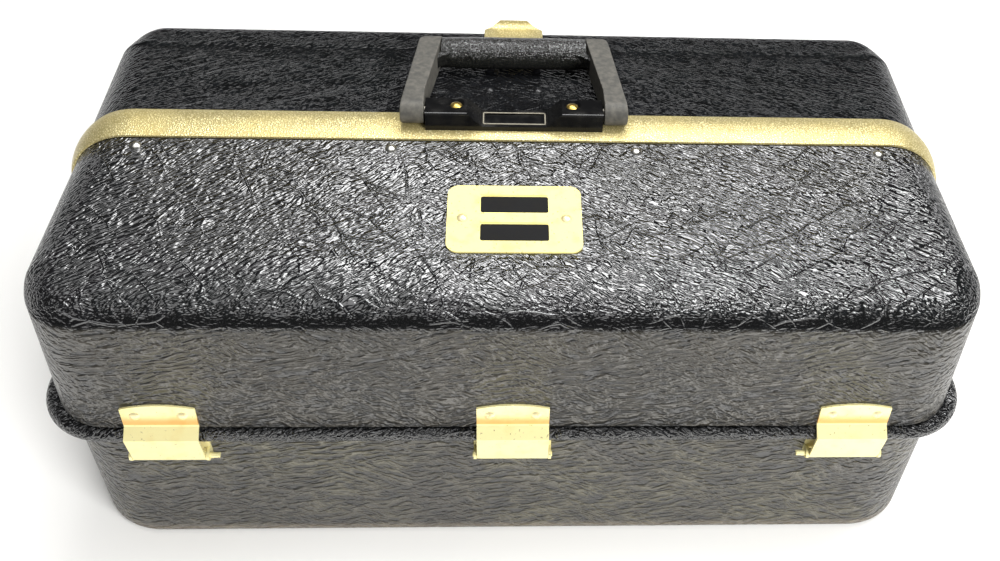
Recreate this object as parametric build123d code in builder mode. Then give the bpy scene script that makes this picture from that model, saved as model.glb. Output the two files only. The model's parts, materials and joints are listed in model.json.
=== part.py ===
from build123d import *
import os
from math import atan2, cos, degrees, hypot, radians, sin, sqrt, tan

os.makedirs("parts", exist_ok=True)

# Driving dimensions in millimetres and degrees.
# The box stands on Z = 0, X runs along its length and +Y points to the rear.
SHELL = 2.6
FIT = 0.05
SEAM = 0.03
SHANK = 1.5

# Tub and its rolled rim
TUB_LENGTH = 486.0
TUB_WIDTH = 248.6
TUB_DRAFT = 0.7
TUB_CORNER = 38.0
TUB_FOOT_RADIUS = 6.0
RIM_LENGTH = 503.5
RIM_WIDTH = 266.3
RIM_CORNER = 37.0
RIM_BOTTOM = 98.0
RIM_THICK = 7.8

# Lids and the strip over their seam
LID_LENGTH = 486.0
LID_WIDTH = 257.5
LID_BOTTOM = 107.0
LID_DRAFT = 3.0
LID_END_DRAFT = 0.4
LID_CORNER = 31.0
ROOF_SLOPE = 7.0
RIDGE_Z = 208.8
SHOULDER_RADIUS = 14.2
SHOULDER_END_RADIUS = 20.0
END_RADIUS = 35.0
FRONT_SEAM = 12.6
SEAT_FRONT = 4.0
STRIP_HALF = 11.85
STRIP_EDGE = 1.2
STRIP_CROWN = 3.2
ANGLE_THICK = 1.0
ANGLE_LENGTH = 404.0
CLOSING_RIVET_Y = -18.2
CLOSING_RIVET_XS = (-201.4, -66.5, 66.5, 201.4)

# Nameplate
PLATE_LENGTH = 69.3
PLATE_DEPTH = 45.2
PLATE_Y = 67.9
PLATE_THICK = 1.0
PLATE_RIVET_X = 26.8
WINDOW_LENGTH = 35.0
WINDOW_DEPTH = 11.3
WINDOW_OFFSET = 9.5

# Handle and its base
HANDLE_AXIS_Y = 1.5
HANDLE_AXIS_Z = 217.8
HANDLE_REACH = 69.5
HANDLE_LEAN = 6.6
HANDLE_PIN_RADIUS = 2.5
LEG_ROOT = 6.9
LEG_TIP = 8.3
GRIP_HALF_DEPTH = 10.5
GRIP_HALF_THICK = 9.0
BASE_LENGTH = 97.0
BASE_DEPTH = 15.4
BASE_MIDDLE_Y = 1.7
BASE_RIVET_X = 31.8
BASE_RIVET_Y = 4.0
PAD_TOP = 221.2
PANEL_TOP = 212.8

# Latch on the rear roof: distances in the roof's plane, where Y runs down the slope to the rear
LATCH_Y = 99.0
LATCH_PIN_Y = -4.0
LATCH_PIN_Z = 4.0
LATCH_PIN_RADIUS = 1.0
LATCH_WIDTH = 36.0
LATCH_PLATE = 1.2
EAR_HALF = 14.2
EAR_THICK = 1.6
TAIL_ANGLE = 25.0
TAIL_LENGTH = 9.6
BAR_DEPTH = 3.6
BAR_THICK = 1.5
BAR_WIDTH = 14.0
GUIDE_THICK = 1.2
GUIDE_YS = (42.0, 66.0)

# Hinges
HINGE_PITCH = 183.0
HINGE_WIDTH = 38.4
HINGE_AXIS_Y = 130.3
HINGE_AXIS_Z = 85.0
HINGE_PIN_RADIUS = 1.5
KNUCKLE_RADIUS = 2.6
LEAF = 1.4
LEAF_TOP = 125.0
LEAF_SAG = 2.6
HINGE_RIVET_OFFSET = 12.1
LID_RIVET_Z = 117.2
TUB_RIVET_Z = 91.0

# Trays, the arms that carry them and the brackets on the tub's end walls
TRAY_LENGTH = 444.0
TRAY_OUTER = 110.0
TRAY_INNER = 4.0
TRAY_HEIGHT = 20.5
TRAY_BOTTOM = 109.0
TRAY_PITCH = 22.5
TRAY_STAGGER = 17.0
TRAY_WALL = 2.0
TRAY_COUNT = 3
TRAY_CORNER = 14.0
DIVIDER_COUNT = 3
ARM_AXIS_Y = 104.0
ARM_SPACING = 36.0
ARM_THICK = 1.5
ARM_WIDTH = 8.0
STUD_RADIUS = 2.0
BRACKET_X = 225.0
BRACKET_THICK = 2.0
BRACKET_LOW = 84.0
BRACKET_HIGH = 101.5
BRACKET_RIVET_Z = 90.0
BRACKET_RIVET_YS = (86.0, 58.0)

# Values that follow from the driving dimensions
draft = radians(LID_DRAFT)
end_draft = radians(LID_END_DRAFT)
slope = radians(ROOF_SLOPE)
tub_flare = tan(radians(TUB_DRAFT))
rim_top = RIM_BOTTOM + RIM_THICK
seat_z = RIDGE_Z - STRIP_HALF * tan(slope)
hole_radius = SHANK + FIT
hinge_places = (-HINGE_PITCH, 0.0, HINGE_PITCH)
hinge_rivet_xs = [place + side * HINGE_RIVET_OFFSET for place in hinge_places for side in (-1, 1)]
tub_wall_y = TUB_WIDTH / 2 + TUB_RIVET_Z * tub_flare
tub_wall_x = TUB_LENGTH / 2 + BRACKET_RIVET_Z * tub_flare


def roof_z(y):
    """Height of the outer face of the roof at the distance y from the ridge."""
    return RIDGE_Z - abs(y) * tan(slope)


def lid_half_length(z):
    """Half length of the lid over its end walls at the height z."""
    return LID_LENGTH / 2 - (z - LID_BOTTOM) * tan(end_draft)


def lid_half_width(z):
    """Half width of the lids over the front and rear walls at the height z."""
    return LID_WIDTH / 2 - (z - LID_BOTTOM) * tan(draft)


def roof_plane(x, y, below=0.0):
    """Plane on the outer face of the front or rear roof, or a depth below it."""
    side = 1 if y > 0 else -1
    normal = Vector(0, side * sin(slope), cos(slope))
    return Plane(origin=Vector(x, y, roof_z(y)) - normal * below, x_dir=(1, 0, 0), z_dir=normal)


def lid_wall(side, x, z):
    """Plane on the outer face of the front (-1) or rear (1) lid's wall."""
    return Plane(origin=(x, side * lid_half_width(z), z), z_dir=(0, side * cos(draft), sin(draft)))


def facing_end(end, x, y, z):
    """Plane that faces the left (-1) or right (1) end of the box, at a distance x from its middle."""
    return Plane(origin=(end * x, y, z), z_dir=(end, 0, 0))


def keep(name, piece):
    """Labels a finished piece and writes its STEP file."""
    piece.label = name
    export_step(piece, f"parts/{name}.step")


def rivet_form(head_radius, head_height, grip):
    """Domed rivet along Z: its head above Z = 0, a shank as long as the grip, a closed end below."""
    dome_radius = (head_radius**2 + head_height**2) / (2 * head_height)
    tail_radius = 1.45 * SHANK
    tail_low = -grip - 0.6 * SHANK
    with BuildPart() as rivet:
        with BuildSketch(Plane.XZ):
            with BuildLine():
                Polyline(
                    (0, head_height),
                    (0, tail_low),
                    (tail_radius, tail_low),
                    (tail_radius, -grip),
                    (SHANK, -grip),
                    (SHANK, 0),
                    (head_radius, 0),
                )
                RadiusArc((head_radius, 0), (0, head_height), -dome_radius)
            make_face()
        revolve(axis=Axis.Z)
    return rivet.part


# Tub with its rolled rim
def tub_block(inset, top):
    """Drafted block of the tub from its floor up, or of the space inside it."""
    with BuildPart() as block:
        with BuildSketch(Plane.XY.offset(inset)):
            RectangleRounded(
                TUB_LENGTH - 2 * inset * (1 - tub_flare),
                TUB_WIDTH - 2 * inset * (1 - tub_flare),
                TUB_CORNER - inset,
            )
        extrude(amount=top - inset, taper=-TUB_DRAFT)
        fillet(block.edges().group_by(Axis.Z)[0], TUB_FOOT_RADIUS - 0.6 * inset)
    return block.part


tub_rivets = [
    Plane(origin=(x, side * tub_wall_y, TUB_RIVET_Z), z_dir=(0, side, 0))
    for x in hinge_rivet_xs
    for side in (-1, 1)
]
bracket_rivet_places = [
    facing_end(end, tub_wall_x, side * y, BRACKET_RIVET_Z)
    for y in BRACKET_RIVET_YS
    for side in (-1, 1)
    for end in (-1, 1)
]
rim_radius = RIM_THICK / 2 - 0.05

with BuildPart() as tub:
    add(tub_block(0.0, rim_top - 1))
    with BuildSketch(Plane.XY.offset(RIM_BOTTOM)):
        RectangleRounded(RIM_LENGTH, RIM_WIDTH, RIM_CORNER)
    extrude(amount=RIM_THICK)
    fillet(tub.faces().sort_by(Axis.Z)[-1].outer_wire().edges(), rim_radius)
    underside = tub.faces().filter_by(Axis.Z).sort_by_distance((RIM_LENGTH / 2, 0, RIM_BOTTOM))[0]
    fillet(underside.outer_wire().edges(), rim_radius)
    add(tub_block(SHELL, rim_top + 1), mode=Mode.SUBTRACT)
    with Locations(*tub_rivets, *bracket_rivet_places):
        Cylinder(hole_radius, 12, mode=Mode.SUBTRACT)
keep("tub", tub.part)


# Lids, each made as one block less the space inside it. The end's radius grows from the shoulder to the ridge.
RIDGE_DEPTH = LID_WIDTH / 2 - STRIP_HALF - 8


def lid_profile(depth, inset):
    """Corners of a lid's section at a depth behind its wall, in the wall's own plane, and its end radius."""
    pitch = draft + slope
    straight = LID_CORNER - inset
    ahead = depth - inset
    corner = 0.0
    if ahead < straight:
        corner = straight - sqrt(straight**2 - (straight - ahead) ** 2)
    roof_at_wall = RIDGE_Z - inset / cos(slope) - LID_BOTTOM - LID_WIDTH / 2 * tan(slope)
    base = roof_at_wall / (cos(draft) - sin(draft) * tan(slope))
    bend = SHOULDER_RADIUS - inset
    centre = base + (inset + bend) * tan(pitch) - bend / cos(pitch)
    top = base + depth * tan(pitch)
    if ahead < bend * (1 - sin(pitch)):
        top = centre + sqrt(bend**2 - (bend - ahead) ** 2)
    low = -8.0
    half_low = LID_LENGTH / 2 - inset - corner + (sin(draft) * depth - cos(draft) * low) * tan(end_draft)
    half_top = LID_LENGTH / 2 - inset - corner + (sin(draft) * depth - cos(draft) * top) * tan(end_draft)
    share = min(max((depth - LID_CORNER) / (RIDGE_DEPTH - LID_CORNER), 0), 1)
    radius = SHOULDER_END_RADIUS + (END_RADIUS - SHOULDER_END_RADIUS) * share - inset - 0.5 * corner
    return [(-half_low, low), (half_low, low), (half_top, top), (-half_top, top)], radius


def section_plane(depth):
    """Plane parallel to the front lid's wall, at a depth behind its outer face."""
    outward = Vector(0, -cos(draft), sin(draft))
    foot = Vector(0, -LID_WIDTH / 2, LID_BOTTOM)
    return Plane(origin=foot - outward * depth, x_dir=(1, 0, 0), z_dir=outward)


def lid_block(inset):
    """Front lid as a full block, or the space inside it when inset is the wall's thickness."""
    straight = LID_CORNER - inset
    rounded = [inset + straight * (1 - cos(radians(turn))) for turn in (0, 15, 30, 45, 60, 75, 90)]
    level = [LID_CORNER, RIDGE_DEPTH, LID_WIDTH / 2 + 8]
    with BuildPart() as block:
        for depths, ruled in ((rounded, False), (level, True)):
            for depth in depths:
                corners, radius = lid_profile(depth, inset)
                with BuildSketch(section_plane(depth)) as section:
                    with BuildLine():
                        Polyline(*corners, close=True)
                    make_face()
                    fillet(section.vertices().group_by(Axis.Y)[-1], radius)
            loft(ruled=ruled)
    return block.part


leaf_rivet_places = [lid_wall(-1, x, LID_RIVET_Z) for x in hinge_rivet_xs]
closing_rivet_places = [roof_plane(x, CLOSING_RIVET_Y) for x in CLOSING_RIVET_XS]
plate_rivet_places = [roof_plane(x, -PLATE_Y) for x in (-PLATE_RIVET_X, PLATE_RIVET_X)]

with BuildPart() as lid_shell:
    add(lid_block(0.0))
    add(lid_block(SHELL), mode=Mode.SUBTRACT)
    split(bisect_by=Plane.XY.offset(LID_BOTTOM), keep=Keep.TOP)
    split(bisect_by=Plane.XZ.offset(STRIP_HALF), keep=Keep.TOP)
    with Locations(*leaf_rivet_places):
        Cylinder(hole_radius, 12, mode=Mode.SUBTRACT)

with BuildPart() as front_lid:
    add(lid_shell.part)
    split(bisect_by=Plane.XZ.offset(FRONT_SEAM), keep=Keep.TOP)
    with Locations(*closing_rivet_places, *plate_rivet_places):
        Cylinder(hole_radius, 12, mode=Mode.SUBTRACT)
keep("front_lid", front_lid.part)

# Rear lid, with the flat seat under the ridge strip and the slot for the latch lever's tail
latch_roof = roof_plane(0, LATCH_Y)
latch_rivet_places = [roof_plane(x, LATCH_Y + 3) for x in (-10.0, 10.0)]
guide_rivet_places = [roof_plane(x, y) for x in (-14.0, 14.0) for y in GUIDE_YS]
base_rivet_places = [Plane(origin=(x, BASE_RIVET_Y, seat_z)) for x in (-BASE_RIVET_X, BASE_RIVET_X)]
slot_width = 8.0
slot_depth = 9.0

with BuildPart() as rear_lid:
    mirror(lid_shell.part, about=Plane.XZ)
    cut_face = rear_lid.faces().filter_by(Axis.Y).sort_by(Axis.Y)[0]
    extrude(cut_face, amount=STRIP_HALF + SEAT_FRONT)
    for rivet_places in (latch_rivet_places, guide_rivet_places, base_rivet_places):
        with Locations(*rivet_places):
            Cylinder(hole_radius, 12, mode=Mode.SUBTRACT)
    with BuildSketch(latch_roof):
        with Locations((0, LATCH_PIN_Y)):
            Rectangle(slot_width, slot_depth)
    extrude(amount=6, both=True, mode=Mode.SUBTRACT)
keep("rear_lid", rear_lid.part)

# Ridge strip: a crowned band over the seam, down both ends to the rim
strip_low = rim_top + 2.0
strip_gap = 0.1
with BuildLine() as strip_path:
    FilletPolyline(
        (-lid_half_length(strip_low) - strip_gap, 0, strip_low),
        (-lid_half_length(seat_z) - strip_gap, 0, seat_z),
        (lid_half_length(seat_z) + strip_gap, 0, seat_z),
        (lid_half_length(strip_low) + strip_gap, 0, strip_low),
        radius=END_RADIUS,
    )
strip_start = Plane(origin=strip_path.line @ 0, x_dir=(0, 1, 0), z_dir=strip_path.line % 0)
with BuildPart() as ridge_strip:
    with BuildSketch(strip_start):
        with BuildLine():
            Polyline((-STRIP_HALF, STRIP_EDGE), (-STRIP_HALF, 0), (STRIP_HALF, 0), (STRIP_HALF, STRIP_EDGE))
            ThreePointArc((STRIP_HALF, STRIP_EDGE), (0, STRIP_CROWN), (-STRIP_HALF, STRIP_EDGE))
        make_face()
    sweep(path=strip_path.line)
    with Locations(*base_rivet_places):
        Cylinder(hole_radius, 14, mode=Mode.SUBTRACT)
keep("ridge_strip", ridge_strip.part)

# Closing angle inside the front lid's upper edge, with the tongue that reaches under the rear lid
flange_back = -FRONT_SEAM - 12.8
flange_front = -FRONT_SEAM - 0.5
tongue_end = -8.0
tongue_top = 202.2


def under_roof(y, thick=0.0):
    """Point below the inner face of the roof, in the plane across the box, by a sheet's thickness."""
    return (y, roof_z(y) - (SHELL + thick) / cos(slope) - SEAM)


with BuildPart() as closing_angle:
    with BuildSketch(Plane.YZ.offset(-ANGLE_LENGTH / 2)):
        with BuildLine():
            Polyline(
                under_roof(flange_back),
                under_roof(flange_front),
                (flange_front, tongue_top),
                (tongue_end, tongue_top),
                (tongue_end, tongue_top - ANGLE_THICK),
                (flange_front - ANGLE_THICK, tongue_top - ANGLE_THICK),
                under_roof(flange_front - ANGLE_THICK, ANGLE_THICK),
                under_roof(flange_back, ANGLE_THICK),
                close=True,
            )
        make_face()
    extrude(amount=ANGLE_LENGTH)
    with Locations(*closing_rivet_places):
        Cylinder(hole_radius, 12, mode=Mode.SUBTRACT)
keep("closing_angle", closing_angle.part)

closing_rivet = rivet_form(3.1, 1.5, SHELL + ANGLE_THICK + 2 * SEAM)
with BuildPart() as closing_rivets:
    with Locations(*closing_rivet_places):
        add(closing_rivet)
keep("closing_rivets", closing_rivets.part)

# Nameplate on the front roof: a plain frame round two blank windows, each with a raised bar above it
plate_plane = roof_plane(0, -PLATE_Y)
with BuildPart() as nameplate:
    with BuildSketch(plate_plane):
        RectangleRounded(PLATE_LENGTH, PLATE_DEPTH, 6)
        with Locations((0, -WINDOW_OFFSET), (0, WINDOW_OFFSET)):
            RectangleRounded(WINDOW_LENGTH, WINDOW_DEPTH, 1.2, mode=Mode.SUBTRACT)
    extrude(amount=PLATE_THICK)
    with BuildSketch(plate_plane.offset(PLATE_THICK)):
        for middle in (-WINDOW_OFFSET, WINDOW_OFFSET):
            with Locations((0, middle + WINDOW_DEPTH / 2 + 1.1)):
                SlotOverall(WINDOW_LENGTH, 1.0)
    extrude(amount=0.5)
    with Locations(*plate_rivet_places):
        Cylinder(hole_radius, 12, mode=Mode.SUBTRACT)
keep("nameplate", nameplate.part)

with BuildPart() as nameplate_windows:
    with BuildSketch(plate_plane):
        with Locations((0, -WINDOW_OFFSET), (0, WINDOW_OFFSET)):
            RectangleRounded(WINDOW_LENGTH - 0.1, WINDOW_DEPTH - 0.1, 1.1)
    extrude(amount=0.6 * PLATE_THICK)
keep("nameplate_windows", nameplate_windows.part)

plate_rivet = rivet_form(2.9, 1.1, SHELL + PLATE_THICK + SEAM)
with BuildPart() as nameplate_rivets:
    with Locations(*[place.offset(PLATE_THICK) for place in plate_rivet_places]):
        add(plate_rivet)
keep("nameplate_rivets", nameplate_rivets.part)

# Handle base on the ridge strip: a pad at each end and a lower panel between them
base_low = seat_z + STRIP_EDGE - 0.2
panel_half = 17.6
ramp_half = 26.0
recess_depth = 0.6
counterbore_depth = 1.4
handle_pin_places = [facing_end(end, BASE_LENGTH / 2 + 0.5, HANDLE_AXIS_Y, HANDLE_AXIS_Z) for end in (-1, 1)]
with BuildPart() as handle_base:
    with BuildSketch(Plane.XZ.offset(-BASE_MIDDLE_Y - BASE_DEPTH / 2)):
        with BuildLine():
            Polyline(
                (-BASE_LENGTH / 2, base_low),
                (BASE_LENGTH / 2, base_low),
                (BASE_LENGTH / 2, PAD_TOP),
                (ramp_half, PAD_TOP),
                (panel_half, PANEL_TOP),
                (-panel_half, PANEL_TOP),
                (-ramp_half, PAD_TOP),
                (-BASE_LENGTH / 2, PAD_TOP),
                close=True,
            )
        make_face()
    extrude(amount=BASE_DEPTH)
    fillet(handle_base.edges().filter_by(Axis.X).group_by(Axis.Z)[-1], 1.2)
    add(ridge_strip.part, mode=Mode.SUBTRACT)
    with BuildSketch(Plane.XY.offset(PANEL_TOP)):
        with Locations((0, BASE_MIDDLE_Y)):
            RectangleRounded(31, 10.5, 0.6)
    extrude(amount=-recess_depth, mode=Mode.SUBTRACT)
    with Locations(*base_rivet_places):
        Cylinder(hole_radius, 40, mode=Mode.SUBTRACT)
    with Locations((-BASE_RIVET_X, BASE_RIVET_Y, PAD_TOP), (BASE_RIVET_X, BASE_RIVET_Y, PAD_TOP)):
        Cone(3.2, 4.6, counterbore_depth, align=(Align.CENTER, Align.CENTER, Align.MAX), mode=Mode.SUBTRACT)
    with Locations(*handle_pin_places):
        Cylinder(HANDLE_PIN_RADIUS + 0.01, 20, mode=Mode.SUBTRACT)
keep("handle_base", handle_base.part)

base_rivet_rise = PAD_TOP - counterbore_depth - seat_z
base_rivet = rivet_form(3.1, 1.0, base_rivet_rise + SHELL / cos(slope) + SEAM)
with BuildPart() as handle_base_rivets:
    with Locations(*[place.offset(base_rivet_rise) for place in base_rivet_places]):
        add(base_rivet)
keep("handle_base_rivets", handle_base_rivets.part)

with BuildPart() as handle_pins:
    with Locations(*handle_pin_places):
        Cylinder(HANDLE_PIN_RADIUS, 18)
keep("handle_pins", handle_pins.part)

# Handle: a frame of two legs and a core bar, drawn in the plane that leans back through the pivots
handle_plane = Plane(
    origin=(0, HANDLE_AXIS_Y, HANDLE_AXIS_Z),
    x_dir=(1, 0, 0),
    z_dir=(0, sin(radians(HANDLE_LEAN)), cos(radians(HANDLE_LEAN))),
)
core_plane = Plane(
    origin=handle_plane.origin + handle_plane.y_dir * HANDLE_REACH,
    x_dir=handle_plane.y_dir,
    z_dir=(1, 0, 0),
)
leg_inner_root = BASE_LENGTH / 2 + 0.6
leg_inner_tip = 42.0
leg_outer_root = 62.2
leg_outer_tip = 55.4
leg_straight = 13.5
leg_end = HANDLE_REACH + 9.6
core_radius = 4.0
side_plane = Plane(
    origin=handle_plane.origin - Vector(leg_outer_root + 2, 0, 0),
    x_dir=handle_plane.y_dir,
    z_dir=(1, 0, 0),
)
with BuildPart() as handle_frame:
    for end in (-1, 1):
        with BuildSketch(handle_plane.offset(-12)) as leg:
            with BuildLine():
                Polyline(
                    (end * leg_inner_root, -LEG_ROOT),
                    (end * leg_outer_root, -LEG_ROOT),
                    (end * leg_outer_tip, leg_end),
                    (end * leg_inner_tip, leg_end),
                    (end * leg_inner_root, leg_straight),
                    close=True,
                )
            make_face()
            by_height = leg.vertices().sort_by(Axis.Y)
            fillet(by_height[-2:].sort_by(lambda corner: end * corner.X)[-1], 11)
            fillet(by_height[:2].sort_by(lambda corner: end * corner.X)[-1], 3.5)
        extrude(amount=24)
    with BuildSketch(side_plane) as side_view:
        with BuildLine():
            Polyline((0, -LEG_ROOT), (leg_end, -LEG_TIP), (leg_end, LEG_TIP), (0, LEG_ROOT), close=True)
        make_face()
        fillet(side_view.vertices().group_by(Axis.X)[-1], 6.5)
        Circle(LEG_ROOT)
    extrude(amount=2 * leg_outer_root + 4, mode=Mode.INTERSECT)
    with Locations(core_plane):
        Cylinder(core_radius, 2 * leg_inner_tip + 6)
    with Locations(*handle_pin_places):
        Cylinder(HANDLE_PIN_RADIUS + FIT, 18, mode=Mode.SUBTRACT)
keep("handle_frame", handle_frame.part)

grip_half = leg_inner_tip + 0.6
with BuildPart() as handle_grip:
    for along, share in ((-1, 0.94), (-0.55, 0.99), (0, 1.0), (0.55, 0.99), (1, 0.94)):
        with BuildSketch(core_plane.offset(along * grip_half)):
            Ellipse(GRIP_HALF_DEPTH * share, GRIP_HALF_THICK * share)
    loft()
    add(handle_frame.part, mode=Mode.SUBTRACT)
keep("handle_grip", handle_grip.part)

# Latch on the rear roof: base, pin, lever and the bar that the lever's tail draws back
latch_axis_at = latch_roof.origin + latch_roof.y_dir * LATCH_PIN_Y + latch_roof.z_dir * LATCH_PIN_Z
latch_pin_plane = Plane(origin=latch_axis_at, x_dir=latch_roof.y_dir, z_dir=(1, 0, 0))
ear_radius = 2.3
with BuildPart() as latch_base:
    with BuildSketch(latch_roof):
        with Locations((0, -0.5)):
            RectangleRounded(33, 17, 2.5)
        with Locations((0, LATCH_PIN_Y)):
            Rectangle(slot_width, slot_depth, mode=Mode.SUBTRACT)
    extrude(amount=LATCH_PLATE)
    for end in (-1, 1):
        with BuildSketch(latch_pin_plane.offset(end * EAR_HALF - EAR_THICK / 2)):
            Circle(ear_radius)
            with Locations((0, -LATCH_PIN_Z / 2 + 0.3)):
                Rectangle(2 * ear_radius, LATCH_PIN_Z - 0.6)
        extrude(amount=EAR_THICK)
    add(rear_lid.part, mode=Mode.SUBTRACT)
    with Locations(latch_pin_plane):
        Cylinder(LATCH_PIN_RADIUS + 0.01, 60, mode=Mode.SUBTRACT)
    with Locations(*latch_rivet_places):
        Cylinder(hole_radius, 12, mode=Mode.SUBTRACT)
keep("latch_base", latch_base.part)

with BuildPart() as latch_pin:
    with Locations(latch_pin_plane):
        Cylinder(LATCH_PIN_RADIUS, 2 * EAR_HALF + 2.4)
keep("latch_pin", latch_pin.part)

lever_inner = EAR_HALF - EAR_THICK / 2 - 0.4
lever_thick = 1.6
lever_under = 0.4
lever_root = 3.6
lever_flat = 14.0
with BuildPart() as latch_lever:
    with BuildSketch(latch_pin_plane.offset(-LATCH_WIDTH / 2)):
        with BuildLine():
            Line((lever_flat, lever_under + lever_thick), (lever_root, lever_under + lever_thick))
            Line((lever_root, lever_under + lever_thick), (lever_root, lever_under))
            Line((lever_root, lever_under), (lever_flat, lever_under))
            ThreePointArc((lever_flat, lever_under), (18.4, 1.5), (21.2, 5.2))
            Line((21.2, 5.2), (19.7, 5.8))
            ThreePointArc((19.7, 5.8), (17.5, 2.9), (lever_flat, lever_under + lever_thick))
        make_face()
    extrude(amount=LATCH_WIDTH)
    with BuildSketch(latch_pin_plane.offset(-lever_inner)):
        Circle(2.1)
        with Locations((2.2, lever_under + lever_thick / 2)):
            Rectangle(4.4, lever_thick)
    extrude(amount=2 * lever_inner)
    with BuildSketch(latch_pin_plane.offset(-3)):
        with Locations(Location((0, 0, 0), (0, 0, -90 - TAIL_ANGLE))):
            with Locations((TAIL_LENGTH / 2, 0)):
                Rectangle(TAIL_LENGTH, 1.5)
    extrude(amount=6)
    with BuildSketch(latch_roof):
        with BuildLine():
            Polyline(
                (-LATCH_WIDTH / 2, 9.5),
                (-LATCH_WIDTH / 2, -8),
                (LATCH_WIDTH / 2, -8),
                (LATCH_WIDTH / 2, 9.5),
            )
            ThreePointArc((LATCH_WIDTH / 2, 9.5), (0, 17.2), (-LATCH_WIDTH / 2, 9.5))
        make_face()
    extrude(amount=24, both=True, mode=Mode.INTERSECT)
    with Locations(latch_pin_plane):
        Cylinder(LATCH_PIN_RADIUS + FIT, 60, mode=Mode.SUBTRACT)
keep("latch_lever", latch_lever.part)

bar_rear = 102.5
bar_bend = 17.0
bar_end = -6.4
hook_top = 200.0


def bar_at(y, below):
    """Point on the latch bar's side view, below the outer face of the rear roof at y."""
    return (y + below * sin(slope), roof_z(y) - below * cos(slope))


with BuildPart() as latch_bar:
    with BuildSketch(Plane.YZ.offset(-BAR_WIDTH / 2)):
        with BuildLine():
            Polyline(
                bar_at(bar_rear, BAR_DEPTH),
                bar_at(bar_bend, BAR_DEPTH),
                (bar_bend - 3.2, hook_top),
                (bar_end, hook_top),
                (bar_end, hook_top - BAR_THICK),
                (bar_bend - 2.6, hook_top - BAR_THICK),
                bar_at(bar_bend, BAR_DEPTH + BAR_THICK),
                bar_at(bar_rear, BAR_DEPTH + BAR_THICK),
                close=True,
            )
        make_face()
    extrude(amount=BAR_WIDTH)
    tail_reach = (LATCH_PIN_Z + BAR_DEPTH + BAR_THICK / 2) * tan(radians(TAIL_ANGLE))
    with BuildSketch(latch_roof):
        with Locations((0, LATCH_PIN_Y - tail_reach)):
            Rectangle(7, 3.6)
    extrude(amount=12, both=True, mode=Mode.SUBTRACT)
keep("latch_bar", latch_bar.part)

guide_drop = BAR_DEPTH - SHELL + BAR_THICK + 0.6
with BuildPart() as latch_bar_guides:
    for y in GUIDE_YS:
        with BuildSketch(roof_plane(0, y, SHELL)):
            Rectangle(35, 8)
        extrude(amount=-guide_drop - GUIDE_THICK)
        with BuildSketch(roof_plane(0, y, SHELL)):
            Rectangle(BAR_WIDTH + 1.0, 9)
        extrude(amount=-guide_drop, mode=Mode.SUBTRACT)
        with BuildSketch(roof_plane(0, y, SHELL + GUIDE_THICK)):
            with Locations((-14.6, 0), (14.6, 0)):
                Rectangle(9.2, 9)
        extrude(amount=-8, mode=Mode.SUBTRACT)
    with Locations(*guide_rivet_places):
        Cylinder(hole_radius, 14, mode=Mode.SUBTRACT)
keep("latch_bar_guides", latch_bar_guides.part)

latch_rivet = rivet_form(2.4, 0.6, SHELL + LATCH_PLATE + 0.15)
guide_rivet = rivet_form(2.6, 1.0, SHELL + GUIDE_THICK + SEAM)
with BuildPart() as latch_rivets:
    with Locations(*[place.offset(LATCH_PLATE) for place in latch_rivet_places]):
        add(latch_rivet)
    with Locations(*guide_rivet_places):
        add(guide_rivet)
keep("latch_rivets", latch_rivets.part)

# Hinges: a bent leaf on each lid, a bracket on the tub and a pin through both, made at the front
knuckle_top = LEAF_TOP - LEAF_SAG
leaf_low = HINGE_AXIS_Z - 9
leaf_path = (
    (-lid_half_width(LEAF_TOP) - LEAF / 2 - SEAM, LEAF_TOP),
    (-lid_half_width(109.0) - LEAF / 2 - SEAM, 109.0),
    (-HINGE_AXIS_Y - 5.1, 104.4),
    (-HINGE_AXIS_Y - KNUCKLE_RADIUS + LEAF / 2, HINGE_AXIS_Z),
)
hinge_axis_plane = Plane(origin=(0, -HINGE_AXIS_Y, HINGE_AXIS_Z), x_dir=(0, 1, 0), z_dir=(1, 0, 0))
with BuildPart() as leaf_form:
    with BuildSketch(Plane.YZ.offset(-HINGE_WIDTH / 2)):
        with BuildLine() as leaf_line:
            Polyline(*leaf_path)
        trace(leaf_line.line, LEAF)
    extrude(amount=HINGE_WIDTH)
    with BuildSketch(hinge_axis_plane.offset(-HINGE_WIDTH / 2)):
        Circle(KNUCKLE_RADIUS)
    extrude(amount=HINGE_WIDTH)
    with BuildSketch(Plane.XZ.offset(HINGE_AXIS_Y - 15)):
        with BuildLine():
            Polyline(
                (-HINGE_WIDTH / 2, knuckle_top),
                (-HINGE_WIDTH / 2, leaf_low),
                (HINGE_WIDTH / 2, leaf_low),
                (HINGE_WIDTH / 2, knuckle_top),
            )
            ThreePointArc((HINGE_WIDTH / 2, knuckle_top), (0, LEAF_TOP - 0.02), (-HINGE_WIDTH / 2, knuckle_top))
        make_face()
    extrude(amount=30, mode=Mode.INTERSECT)
    with Locations(hinge_axis_plane):
        Cylinder(HINGE_PIN_RADIUS + FIT, 60, mode=Mode.SUBTRACT)
    with Locations(*[lid_wall(-1, x, LID_RIVET_Z) for x in (-HINGE_RIVET_OFFSET, HINGE_RIVET_OFFSET)]):
        Cylinder(hole_radius, 12, mode=Mode.SUBTRACT)

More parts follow.
